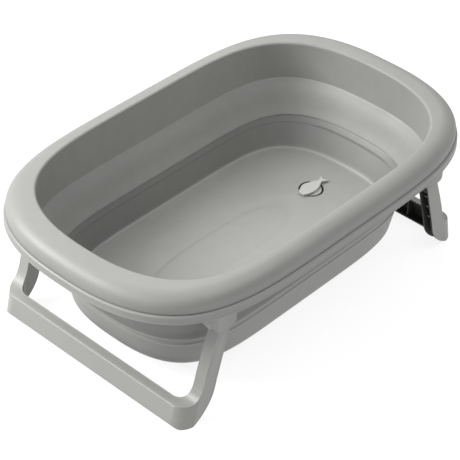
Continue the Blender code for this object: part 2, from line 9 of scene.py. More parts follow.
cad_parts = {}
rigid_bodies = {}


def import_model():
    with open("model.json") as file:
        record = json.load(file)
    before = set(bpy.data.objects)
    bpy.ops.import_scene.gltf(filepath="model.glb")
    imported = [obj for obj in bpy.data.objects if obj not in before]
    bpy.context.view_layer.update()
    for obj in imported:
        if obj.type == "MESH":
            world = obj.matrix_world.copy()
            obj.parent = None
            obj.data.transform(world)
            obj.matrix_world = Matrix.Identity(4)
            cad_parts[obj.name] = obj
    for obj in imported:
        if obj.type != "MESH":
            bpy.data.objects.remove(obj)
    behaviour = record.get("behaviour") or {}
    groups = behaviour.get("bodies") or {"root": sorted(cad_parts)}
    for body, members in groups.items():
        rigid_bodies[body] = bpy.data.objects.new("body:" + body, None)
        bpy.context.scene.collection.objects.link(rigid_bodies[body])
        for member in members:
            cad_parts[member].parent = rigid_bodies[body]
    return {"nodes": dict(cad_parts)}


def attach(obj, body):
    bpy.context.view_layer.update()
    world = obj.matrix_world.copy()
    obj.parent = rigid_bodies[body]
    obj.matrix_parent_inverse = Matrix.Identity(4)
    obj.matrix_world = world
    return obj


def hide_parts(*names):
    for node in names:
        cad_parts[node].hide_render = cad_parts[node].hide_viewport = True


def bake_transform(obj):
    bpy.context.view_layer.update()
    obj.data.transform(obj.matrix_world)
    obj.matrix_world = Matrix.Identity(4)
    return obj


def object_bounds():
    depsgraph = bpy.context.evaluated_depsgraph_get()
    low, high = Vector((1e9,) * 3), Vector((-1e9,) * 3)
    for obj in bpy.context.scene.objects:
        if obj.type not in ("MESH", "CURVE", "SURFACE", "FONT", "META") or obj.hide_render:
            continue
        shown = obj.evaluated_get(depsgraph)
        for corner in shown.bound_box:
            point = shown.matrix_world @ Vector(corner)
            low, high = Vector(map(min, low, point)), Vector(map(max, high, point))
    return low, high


for _o in list(bpy.data.objects):
    bpy.data.objects.remove(_o, do_unlink=True)

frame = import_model()
CAD_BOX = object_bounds()
NODES = frame["nodes"]


def plain(b):
    return [[float(v) for v in p] for p in b]


CAD_BOX = plain(CAD_BOX)

# ---------------------------------------------------------------- dimensions (as the CAD)
Q = 60                        # points in each quarter of the long outlines
RIM_OUT = (0.4050, 0.2531, 4.495, 2.538, 0.2302)
RIM_CREST_IN, RIM_CREST_Z = 0.0292, 0.2610
RIM_WIDE_IN, RIM_WIDE_Z, RIM_FOOT_IN = 0.0028, 0.2395, 0.0031
RIM_CREASE = (0.3527, 0.2158, 4.720, 2.365, 0.2606)
WALL_FOOT = (0.3505, 0.2052, 5.870, 2.554, 0.1865)
PAN_TOP = (0.3223, 0.1732, 5.990, 2.554, 0.1265)
PAN_FLOOR = (0.2917, 0.1543, 5.780, 2.700, 0.0730)
PAN_OUT_TOP = (0.3255, 0.1764, 5.990, 2.554, 0.1265)
PAN_OUT_LOW = (0.3020, 0.1680, 5.720, 2.594, 0.0500)
PAN_BOTTOM = 0.0312
PAN_FOOT_R = 0.0188
SKIN = 0.0028
RING_TOP = 0.2296
RING_LOW = 0.2146
RING_PROUD = 0.0008
FLOOR_Z = PAN_FLOOR[4]
DRAIN_X = 0.1990
DRAIN_R = 0.0226
PLUG_R = 0.0200
HINGE_U, HINGE_Z, PIN_R, LUG_R = 0.2565, 0.1780, 0.0030, 0.0125
LEG_OUT_Y, LEG_IN_Y, LEG_LUG_IN_Y = 0.2141, 0.1935, 0.2036
LEG_FRONT, LEG_BACK, LEG_BOTTOM, LEG_WALL = 0.3543, 0.3308, 0.0008, 0.0030
LEG_LEAN, LEG_TOE_U, LEG_TOE_R = 0.216, 0.3453, 0.0090
LEG_R_OUT, LEG_R_IN = 0.0330, 0.0220
LUG_FOOT_Z, LUG_SHOULDER_Z = 0.1495, 0.1640
CHEEK_OUT, CHEEK_OUT_IN, CHEEK_IN_OUT, CHEEK_IN = 0.2200, 0.2145, 0.2032, 0.2004
SCREW_IN = 0.0215


# ---------------------------------------------------------------- mesh helpers
def quadrant(A, B, n, m, count):
    fine = 900
    pts = []
    for i in range(fine + 1):
        t = math.pi / 2 * i / fine
        pts.append((A * math.cos(t) ** (2 / n) if i < fine else 0.0, B * math.sin(t) ** (2 / m) if i else 0.0))
    length, turn, last = [0.0], [0.0], math.pi / 2
    for i in range(1, fine + 1):
        dx, dy = pts[i][0] - pts[i - 1][0], pts[i][1] - pts[i - 1][1]
        length.append(length[-1] + math.hypot(dx, dy))
        a = math.atan2(dy, dx)
        turn.append(turn[-1] + max(0.0, a - last))
        last = max(last, a)
    w = [length[i] / length[-1] + turn[i] / max(turn[-1], 1e-9) for i in range(fine + 1)]
    out, j = [], 0
    for k in range(count):
        want = w[-1] * k / count
        while w[j + 1] < want:
            j += 1
        f = (want - w[j]) / max(w[j + 1] - w[j], 1e-12)
        out.append((pts[j][0] + f * (pts[j + 1][0] - pts[j][0]), pts[j][1] + f * (pts[j + 1][1] - pts[j][1])))
    return out


def outline(r, q=Q):
    A, B, n, m, z = r
    one = quadrant(A, B, n, m, q) + [(0.0, B)]
    left = [(-x, y) for x, y in reversed(one)]
    top = one[:-1] + left[:-1]
    full = top + [(-x, -y) for x, y in top]
    return [(x, y, z) for x, y in full]


def grow(r, by, z=None):
    return (r[0] + by, r[1] + by, r[2], r[3], r[4] if z is None else z)


def mix(a, b, t, z=None):
    m = tuple(a[i] + (b[i] - a[i]) * t for i in range(5))
    return m if z is None else m[:4] + (z,)


def smooth_mesh(me, angle=32.0):
    for p in me.polygons:
        p.use_smooth = True
    me.set_sharp_from_angle(angle=math.radians(angle))


def new_object(name, verts, faces, angle=32.0, merge=1e-6):
    me = bpy.data.meshes.new(name)
    me.from_pydata([tuple(v) for v in verts], [], faces)
    bm = bmesh.new()
    bm.from_mesh(me)
    bmesh.ops.remove_doubles(bm, verts=bm.verts, dist=merge)
    bmesh.ops.recalc_face_normals(bm, faces=bm.faces)
    bm.to_mesh(me)
    bm.free()
    smooth_mesh(me, angle)
    ob = bpy.data.objects.new(name, me)
    bpy.context.scene.collection.objects.link(ob)
    return ob


def loft(name, rings, closed=True, q=Q, angle=32.0):
    verts, faces, seg = [], [], 4 * q
    for r in rings:
        verts += r if isinstance(r, list) else outline(r, q)
    k = len(rings)
    for i in range(k if closed else k - 1):
        a, b = i * seg, (i + 1) % k * seg
        for j in range(seg):
            j2 = (j + 1) % seg
            faces.append((a + j, a + j2, b + j2, b + j))
    return new_object(name, verts, faces, angle)


def turned(name, profile, at=(0, 0, 0), axis="Z", seg=64, angle=32.0):
    verts, faces, rows = [], [], []
    for r, h in profile:
        if r < 1e-9:
            rows.append([len(verts)])
            verts.append((0, 0, h))
        else:
            rows.append(list(range(len(verts), len(verts) + seg)))
            verts += [(r * math.cos(2 * math.pi * i / seg), r * math.sin(2 * math.pi * i / seg), h) for i in range(seg)]
    tips = len(rows[0]) == 1
    for a, b in list(zip(rows, rows[1:])) + ([] if tips else [(rows[-1], rows[0])]):
        for i in range(seg):
            j = (i + 1) % seg
            if len(a) == 1 and len(b) == 1:
                continue
            if len(a) == 1:
                faces.append((a[0], b[j], b[i]))
            elif len(b) == 1:
                faces.append((a[i], a[j], b[0]))
            else:
                faces.append((a[i], a[j], b[j], b[i]))
    if axis == "Y":
        verts = [(x, h, -y) for x, y, h in verts]
    return new_object(name, [(x + at[0], y + at[1], z + at[2]) for x, y, z in verts], faces, angle)


def prism(name, poly, lo, hi, axis="Y"):
    def put(p, d):
        return {"Y": (p[0], d, p[1]), "X": (d, p[0], p[1]), "Z": (p[0], p[1], d)}[axis]
    k = len(poly)
    verts = [put(p, lo) for p in poly] + [put(p, hi) for p in poly]
    faces = [tuple(range(k)), tuple(range(k, 2 * k))]
    faces += [(i, (i + 1) % k, k + (i + 1) % k, k + i) for i in range(k)]
    return new_object(name, verts, faces)


def box(name, x0, x1, y0, y1, z0, z1):
    return prism(name, [(x0, y0), (x1, y0), (x1, y1), (x0, y1)], z0, z1, "Z")


def baked(ob):
    """The object with its modifiers applied."""
    dg = bpy.context.evaluated_depsgraph_get()
    me = bpy.data.meshes.new_from_object(ob.evaluated_get(dg))
    ob.modifiers.clear()
    ob.data = me
    return ob


def boolean(ob, other, how):
    m = ob.modifiers.new("b", "BOOLEAN")
    m.operation, m.solver, m.object = how, "EXACT", other
    baked(ob)
    bpy.data.objects.remove(other, do_unlink=True)
    bm = bmesh.new()
    bm.from_mesh(ob.data)
    bmesh.ops.remove_doubles(bm, verts=bm.verts, dist=4e-6)
    bmesh.ops.dissolve_degenerate(bm, dist=2e-6, edges=bm.edges)
    bmesh.ops.dissolve_limit(bm, angle_limit=0.002, verts=bm.verts, edges=bm.edges)
    bm.to_mesh(ob.data)
    bm.free()
    return ob


def softened(ob, width=0.0012, segments=3, limit=35.0, angle=40.0):
    """Rounded moulded edges."""
    m = ob.modifiers.new("edge", "BEVEL")
    m.width, m.segments, m.limit_method, m.angle_limit = width, segments, "ANGLE", math.radians(limit)
    m.use_clamp_overlap = True
    m.miter_outer = "MITER_ARC"
    baked(ob)
    smooth_mesh(ob.data, angle)
    w = ob.modifiers.new("weight", "WEIGHTED_NORMAL")
    w.keep_sharp = True
    baked(ob)
    return ob


def arc(cx, cy, r, a0, a1, steps):
    return [(cx + r * math.cos(math.radians(a0 + (a1 - a0) * i / steps)),
             cy + r * math.sin(math.radians(a0 + (a1 - a0) * i / steps))) for i in range(steps + 1)]


def smoothed(poly, times=2):
    """Chaikin corner cutting of an open list of points, ends kept."""
    for _ in range(times):
        out = [poly[0]]
        for a, b in zip(poly, poly[1:]):
            out.append((a[0] * 0.75 + b[0] * 0.25, a[1] * 0.75 + b[1] * 0.25))
            out.append((a[0] * 0.25 + b[0] * 0.75, a[1] * 0.25 + b[1] * 0.75))
        out.append(poly[-1])
        poly = out
    return poly


# ---------------------------------------------------------------- materials
def moulded(name, rgb, rough=0.42, vary=0.05, grain=0.10, grain_scale=1500.0, blotch=0.0, wave=0.0, edge=0.06, spec=0.5, coat=0.0, sheen=0.0, painted_light_by_height=None, seat=False):
    """Moulded plastic or elastomer: slight tone drift, fine grain, uneven gloss, and paler edges (slight wear at small
    edge values, painted highlight lines along the edges at larger ones).
    """
    m = bpy.data.materials.new(name)
    m.use_nodes = True
    nt = m.node_tree
    n, l = nt.nodes, nt.links
    p = n["Principled BSDF"]
    p.inputs["Specular IOR Level"].default_value = spec
    p.inputs["Coat Weight"].default_value = coat
    p.inputs["Coat Roughness"].default_value = 0.25
    p.inputs["Sheen Weight"].default_value = sheen
    tc = n.new("ShaderNodeTexCoord")

    def noise(scale, detail=3.0, rough_=0.5, stretch=(1, 1, 1)):
        mp = n.new("ShaderNodeMapping")
        mp.inputs["Scale"].default_value = stretch
        l.new(tc.outputs["Object"], mp.inputs["Vector"])
        t = n.new("ShaderNodeTexNoise")
        t.inputs["Scale"].default_value = scale
        t.inputs["Detail"].default_value = detail
        t.inputs["Roughness"].default_value = rough_
        l.new(mp.outputs["Vector"], t.inputs["Vector"])
        return t.outputs["Fac"]

    def remap(fac, lo, hi, a, b):
        r = n.new("ShaderNodeMapRange")
        r.inputs["From Min"].default_value, r.inputs["From Max"].default_value = lo, hi
        r.inputs["To Min"].default_value, r.inputs["To Max"].default_value = a, b
        l.new(fac, r.inputs["Value"])
        return r.outputs["Result"]

    def math_(op, a, b):
        k = n.new("ShaderNodeMath")
        k.operation = op
        for i, v in enumerate((a, b)):
            if isinstance(v, (int, float)):
                k.inputs[i].default_value = v
            else:
                l.new(v, k.inputs[i])
        return k.outputs[0]

    # tone: broad drift, mottling and fine speckle
    broad = remap(noise(5.0, 2.0), 0.3, 0.7, 1.0 - vary, 1.0 + vary)
    mottle = remap(noise(42.0, 4.0, 0.6), 0.3, 0.7, 1.0 - vary * 0.5, 1.0 + vary * 0.5)
    speck = remap(noise(1900.0, 1.0), 0.35, 0.75, 1.0 - vary * 0.45, 1.0 + vary * 0.45)
    tone = math_("MULTIPLY", math_("MULTIPLY", broad, mottle), speck)
    # paler convex edges by pointiness: slight wear at small edge values, painted highlight lines at the larger ones
    # (ring and brackets, legs, leg hollow)
    if edge:
        g = n.new("ShaderNodeNewGeometry")
        tone = math_("MULTIPLY", tone, remap(g.outputs["Pointiness"], 0.50, 0.60, 1.0, 1.0 + edge))
    # painted light by height: tone scaled between the two given factors across the given z span; on the pan the floor
    # and its edge fillet are lighter than the inside wall (painted light on the floor, painted highlight along the
    # fillet)
    if painted_light_by_height:
        sep = n.new("ShaderNodeSeparateXYZ")
        l.new(tc.outputs["Object"], sep.inputs[0])
        tone = math_("MULTIPLY", tone, remap(sep.outputs["Z"], *painted_light_by_height))
    colour = n.new("ShaderNodeVectorMath")
    colour.operation = "SCALE"
    colour.inputs[0].default_value = rgb
    l.new(tone, colour.inputs["Scale"])
    l.new(colour.outputs[0], p.inputs["Base Color"])
    # gloss: handled and wiped surfaces vary
    gloss = remap(noise(9.0, 5.0, 0.6), 0.3, 0.7, rough - 0.05, rough + 0.06)
    l.new(gloss, p.inputs["Roughness"])
    # relief: fine moulding grain over very shallow waves
    height = math_("MULTIPLY", noise(grain_scale, 2.0, 0.55), grain)
    if blotch:
        height = math_("ADD", height, math_("MULTIPLY", noise(28.0, 2.0, 0.45), blotch))
    if wave:
        height = math_("ADD", height, math_("MULTIPLY", noise(9.0, 1.0, 0.4, (0.6, 0.6, 2.2)), wave))
    b = n.new("ShaderNodeBump")
    b.inputs["Strength"].default_value = 0.5
    b.inputs["Distance"].default_value = 0.0006
    l.new(height, b.inputs["Height"])
    l.new(b.outputs["Normal"], p.inputs["Normal"])
    if seat:
        # fine step line inside the edge of the seat hollow
        sp = n.new("ShaderNodeSeparateXYZ")
        l.new(tc.outputs["Object"], sp.inputs[0])
        ax = math_("POWER", math_("ABSOLUTE", math_("DIVIDE", math_("ADD", sp.outputs["X"], 0.035), 0.205), 0.0), 3.0)
        ay = math_("POWER", math_("ABSOLUTE", math_("DIVIDE", sp.outputs["Y"], 0.060), 0.0), 2.4)
        rho = math_("POWER", math_("ADD", ax, ay), 0.40)
        ramp = n.new("ShaderNodeFloatCurve")
        c = ramp.mapping.curves[0]
        for at, h in ((0.30, 0.40), (0.335, 0.38), (0.37, 0.03), (0.385, 0.0)):
            c.points.new(at, h)
        c.points[0].location = (0.0, 0.40)
        c.points[-1].location = (1.0, 0.0)
        for k in c.points:
            k.handle_type = "VECTOR"
        ramp.mapping.update()
        l.new(math_("MULTIPLY", rho, 0.5), ramp.inputs["Value"])
        sb = n.new("ShaderNodeBump")
        sb.inputs["Strength"].default_value = 1.0
        sb.inputs["Distance"].default_value = 0.0017
        l.new(math_("MULTIPLY", ramp.outputs["Value"], remap(sp.outputs["Y"], -0.045, 0.015, 0.35, 1.0)), sb.inputs["Height"])
        l.new(sb.outputs["Normal"], b.inputs["Normal"])
    return m


GREY = (0.200, 0.200, 0.191)
M = {
    "rim": moulded("rim_satin_plastic", GREY, 0.48, vary=0.035, grain=0.10, wave=0.7, spec=0.40),
    # inner upper wall: a lighter copy of the rim's grey on the same moulding, painted light
    "wall": moulded("wall_painted_light_plastic", (0.230, 0.230, 0.220), 0.46, vary=0.05, grain=0.10, wave=1.0, spec=0.42),
    # ring and brackets: large edge value, painted highlight lines along their edges
    "ring": moulded("ring_satin_plastic", (0.198, 0.198, 0.189), 0.42, vary=0.03, grain=0.12, edge=0.40, spec=0.45),
    "band": moulded("soft_band_elastomer", (0.222, 0.222, 0.213), 0.50, vary=0.05, grain=0.06, grain_scale=1100.0, blotch=1.6, wave=1.4, edge=0.0, spec=0.45),
    # outside of the fold band: a darker copy of the band's grey, painted shade
    "band_painted_shade": moulded("soft_band_outside_painted_shade", (0.148, 0.148, 0.141), 0.60, vary=0.05, grain=0.10, grain_scale=1100.0, blotch=1.0, wave=1.0, edge=0.0, spec=0.35),
    "pan_out": moulded("pan_satin_outside", (0.222, 0.222, 0.212), 0.42, vary=0.045, grain=0.12, wave=0.8, edge=0.04, spec=0.45),
    # pan inside: darker than the outside grey, painted shade in the tub, with the floor and edge fillet lightened by
    # height, painted light
    "pan": moulded("pan_inside_painted_shade_and_light", (0.156, 0.156, 0.149), 0.42, vary=0.045, grain=0.12, wave=0.8, edge=0.04, spec=0.45, painted_light_by_height=(0.0748, 0.0768, 1.46, 1.0), seat=True),
    # legs: raised edge value, painted highlight lines along the leg edges
    "leg": moulded("leg_satin_plastic", (0.210, 0.209, 0.200), 0.45, vary=0.035, grain=0.16, edge=0.20, spec=0.45),
    # drain cup: near-black, painted shade in the gap round the plug
    "seat": moulded("seat_plastic", (0.06, 0.06, 0.056), 0.45, vary=0.04, grain=0.12, edge=0.05),
    "plug": moulded("plug_plastic", (0.34, 0.34, 0.328), 0.36, vary=0.03, grain=0.10, edge=0.06),
    # leg channel: near-black, painted shade for the unlit hollow and its open back edge; its large edge value gives
    # paler rib ends, painted highlight
    "hollow": moulded("leg_hollow_painted_shade", (0.032, 0.032, 0.029), 0.6, vary=0.10, grain=0.16, edge=0.5, spec=0.25),
    "rubber": moulded("pad_rubber", (0.05, 0.05, 0.049), 0.75, vary=0.15, grain=0.6, grain_scale=900.0, edge=0.2, spec=0.3),
    "seal": moulded("seal_rubber", (0.05, 0.05, 0.049), 0.6, vary=0.1, grain=0.3, edge=0.1, spec=0.4),
    "steel": moulded("zinc_steel", (0.55, 0.55, 0.56), 0.32, vary=0.06, grain=0.3, grain_scale=2500.0, edge=0.1),
}
M["steel"].node_tree.nodes["Principled BSDF"].inputs["Metallic"].default_value = 1.0


def paint(ob, key):
    ob.data.materials.clear()
    ob.data.materials.append(M[key])
    return ob


def stands_for(ob, body, key, slot_name, *nodes):
    paint(ob, key)
    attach(ob, body)
    if nodes:
        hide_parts(*nodes)
    return ob


# ---------------------------------------------------------------- rim and upper wall
def rim_ring(o, z):
    return (RIM_OUT[0] - o, RIM_OUT[1] - o, RIM_OUT[2], RIM_OUT[3], z)


def build_rim():
    top_z, foot_z = RIM_CREST_Z, RIM_OUT[4]
    wide, rise = RIM_CREST_IN - RIM_WIDE_IN, RIM_CREST_Z - RIM_WIDE_Z
    outer = [rim_ring(RIM_FOOT_IN + 0.0008, foot_z), rim_ring(RIM_FOOT_IN + 0.0002, foot_z + 0.0002), rim_ring(RIM_FOOT_IN, foot_z + 0.0008),
             rim_ring(RIM_WIDE_IN + 0.0001, foot_z + 0.0034), rim_ring(RIM_WIDE_IN, foot_z + 0.0064)]
    inner = [rim_ring(RIM_FOOT_IN + SKIN, foot_z)]
    for k in range(25):
        th = math.pi / 2 * k / 24
        outer.append(rim_ring(RIM_CREST_IN - wide * math.cos(th), RIM_WIDE_Z + rise * math.sin(th)))
    for k in range(8):
        th = math.pi / 2 * k / 7
        inner.append(rim_ring(RIM_CREST_IN - (wide - SKIN) * math.cos(th), RIM_WIDE_Z + (rise - SKIN) * math.sin(th)))
    crest = outer[-1]
    fr = 0.0040
    lip = grow(RIM_CREASE, fr, top_z - 0.0001)
    top = [mix(crest, lip, t, top_z + 0.0001 * math.sin(math.pi * t)) for t in (0.2, 0.45, 0.7, 0.9, 1.0)]
    for k in range(1, 7):
        th = math.pi / 2 * k / 6
        top.append(grow(RIM_CREASE, fr * (1 - math.sin(th)), top_z - 0.0001 - fr * (1 - math.cos(th))))
    z_wall = top[-1][4]
    wall = [mix(RIM_CREASE, WALL_FOOT, (z_wall - z) / (z_wall - WALL_FOOT[4]), z) for z in [z_wall - (z_wall - WALL_FOOT[4]) * t for t in (0.04, 0.1, 0.2, 0.35, 0.5, 0.65, 0.8, 0.9, 0.97)]]
    foot = [grow(WALL_FOOT, 0.0, WALL_FOOT[4] + 0.0008), grow(WALL_FOOT, 0.0, WALL_FOOT[4] + 0.0002), grow(WALL_FOOT, 0.0003, WALL_FOOT[4])]
    back = [grow(WALL_FOOT, SKIN - 0.0003, WALL_FOOT[4]), grow(WALL_FOOT, SKIN, WALL_FOOT[4] + 0.0004)]
    back += [grow(mix(WALL_FOOT, RIM_CREASE, t), SKIN) for t in (0.25, 0.5, 0.75, 0.9)]
    under = [grow(RIM_CREASE, SKIN + 0.0012, top_z - 0.0048), grow(RIM_CREASE, SKIN + 0.0030, top_z - 0.0032), mix(inner[-1], grow(RIM_CREASE, SKIN), 0.5, top_z - SKIN)]
    ob = loft("rim_and_wall", outer + top + wall + foot + back + under + list(reversed(inner)))
    stands_for(ob, "frame", "rim", "rim_plastic", "upper_frame")
    # the inner upper wall rows take the lighter copy: painted light
    ob.data.materials.append(M["wall"])
    first = len(outer) + len(top) - 1
    for f in ob.data.polygons:
        f.material_index = 1 if first <= f.index // (4 * Q) < first + len(wall) + len(foot) else 0
    return ob


# ---------------------------------------------------------------- trim ring and brackets
def build_ring():
    face, z = RIM_OUT, RING_LOW
    wall = mix(WALL_FOOT, RIM_CREASE, (WALL_FOOT[4] - z) / (WALL_FOOT[4] - RIM_CREASE[4]), z)
    e = RING_PROUD
    rings = [
        grow(face, e - 0.0010, z), grow(face, e - 0.0003, z + 0.0002), grow(face, e, z + 0.0007), grow(face, e, z + 0.0014),
        grow(face, e - 0.0003, z + 0.0021), grow(face, e - 0.0005, z + 0.0028), grow(face, e - 0.0005, z + 0.0070), grow(face, e - 0.0004, RING_TOP - 0.0030),
        grow(face, e - 0.0004, RING_TOP - 0.0024), grow(face, e - 0.0007, RING_TOP - 0.0017), grow(face, e - 0.0014, RING_TOP - 0.0010), grow(face, -0.0022, RING_TOP - 0.0001), grow(face, -0.0030, RING_TOP),
        grow(face, -0.0063, RING_TOP), grow(face, -0.0066, RING_TOP + 0.0060), grow(face, -0.0088, RING_TOP + 0.0060),
        grow(face, -0.0090, z + 0.0045), grow(face, -0.0099, z + SKIN),
        grow(wall, SKIN + 0.0036, z + SKIN), grow(wall, SKIN + 0.0034, z + 0.0072), grow(wall, SKIN + 0.0014, z + 0.0072),
        grow(wall, SKIN + 0.0010), grow(wall, SKIN + 0.0040), grow(face, -0.0120, z)]
    ob = loft("trim_ring", rings)
    stands_for(ob, "frame", "ring", "rim_plastic", "lower_ring")
    for sx in (-1, 1):
        for sy in (-1, 1):
            def flat(pts):
                return [(sx * u, v) for u, v in pts]

            def span(a, b):
                return sorted((sy * a, sy * b))
            side = [(0.2400, z + 0.0010)] + smoothed([(0.2400, 0.1750), (0.2425, 0.1722), (0.2460, 0.1703), (0.2520, 0.1678)], 1) + [(0.2700, 0.1655), (0.2770, 0.1675), (0.2800, 0.1715), (0.2800, z + 0.0010)]
            br = prism("br", flat(side), *span(CHEEK_IN, CHEEK_OUT), "Y")
            br = boolean(br, prism("s", flat([(0.2350, 0.1550), (0.2758, 0.1550), (0.2758, 0.2000), (0.2690, 0.2105), (0.2350, 0.2105)]), *span(CHEEK_IN_OUT, CHEEK_OUT_IN), "Y"), "DIFFERENCE")
            br = boolean(br, prism("t", flat([(0.2380, 0.1550), (0.2490, 0.1550), (0.2490, 0.2200), (0.2380, 0.2200)]), *span(CHEEK_IN - 0.001, CHEEK_IN_OUT + 0.0002), "Y"), "DIFFERENCE")
            plate = [(sy * v, h) for v, h in ((0.1830, 0.1713), (0.1935, 0.1680), (0.2040, 0.1680), (0.2040, z + 0.0010), (0.1907, z + 0.0010), (0.1907, 0.1845), (0.1830, 0.1735))]
            br = boolean(br, prism("plate", plate, *sorted((sx * 0.2762, sx * 0.2800)), "X"), "UNION")
            br = softened(br, 0.0009, 3, 30.0)
            br.name = "leg_bracket_%s_%s" % ("left" if sx < 0 else "right", "front" if sy < 0 else "back")
            stands_for(br, "frame", "ring", "rim_plastic")


# ---------------------------------------------------------------- soft fold band
def build_band():
    z1, z0 = WALL_FOOT[4] - 0.0003, PAN_TOP[4] + 0.0003
    top = grow(WALL_FOOT, -0.0012, z1)
    low = grow(PAN_TOP, -0.0006, z0)
    keys = [(0.0, 0.0), (0.03, 0.012), (0.08, 0.06), (0.16, 0.17), (0.28, 0.32), (0.42, 0.46), (0.56, 0.58), (0.70, 0.70), (0.82, 0.82), (0.92, 0.93), (0.97, 0.985), (1.0, 1.0)]
    keys = smoothed(keys, 1)
    face = [mix(top, low, s, z1 - (z1 - z0) * d) for d, s in keys]
    for i, out in enumerate((0.0016, 0.0011, 0.0006, 0.0002)):
        face[i] = grow(face[i], out)
    face[0] = face[0][:4] + (WALL_FOOT[4] - 0.00003,)
    face[-1] = grow(face[-1], 0.0008, PAN_TOP[4] + 0.00005)
    lip_out = pan_out(0.1300, 0.0049)
    outer = [grow(WALL_FOOT, 0.0030, z1), grow(WALL_FOOT, 0.0031, z1 + 0.0028), grow(WALL_FOOT, 0.0038, z1 + 0.0032), grow(WALL_FOOT, 0.0042, z1 + 0.0026), grow(WALL_FOOT, 0.0036, z1 + 0.0002)]
    for t in (0.04, 0.12, 0.24, 0.36, 0.48, 0.60, 0.72, 0.84, 0.94, 1.0):
        outer.append(mix(grow(WALL_FOOT, 0.0030, z1), lip_out, t, z1 - (z1 - 0.1300) * t))
    outer += [pan_out(0.1240, 0.0048), pan_out(0.1180, 0.0047), pan_out(0.1148, 0.0046), pan_out(0.1143, 0.0043), pan_out(0.1146, 0.0041)]
    outer += [pan_out(0.1190, 0.0042), pan_out(0.1265, 0.0044), pan_out(0.1290, 0.0042), pan_out(0.1300, 0.0036), pan_out(0.1300, 0.0022), grow(low, 0.0050, 0.1285), grow(low, 0.0040, z0)]
    ob = loft("soft_band", face + list(reversed(outer)), angle=50.0)
    paint(ob, "band")
    # outside faces take the darker band copy: painted shade
    ob.data.materials.append(M["band_painted_shade"])
    for f in ob.data.polygons:
        f.material_index = 1 if f.index // (4 * Q) >= len(face) else 0
    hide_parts("fold_band")
    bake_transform(ob)
    return ob


# ---------------------------------------------------------------- base pan
def pan_out(z, by=0.0):
    return grow(mix(PAN_OUT_TOP, PAN_OUT_LOW, (PAN_OUT_TOP[4] - z) / (PAN_OUT_TOP[4] - PAN_OUT_LOW[4]), z), by)


def floor_height(x, y):
    """A shallow oval hollow for the seat area in an almost flat floor."""
    rho = (abs((x + 0.035) / 0.205) ** 3.0 + abs(y / 0.060) ** 2.4) ** 0.40
    s = max(0.0, min(1.0, (1.01 - rho) / 0.25))
    s = s * s * (3 - 2 * s)
    return FLOOR_Z - 0.0002 - 0.0013 * s * (0.35 + 0.65 * max(0.0, min(1.0, (y + 0.045) / 0.060)))


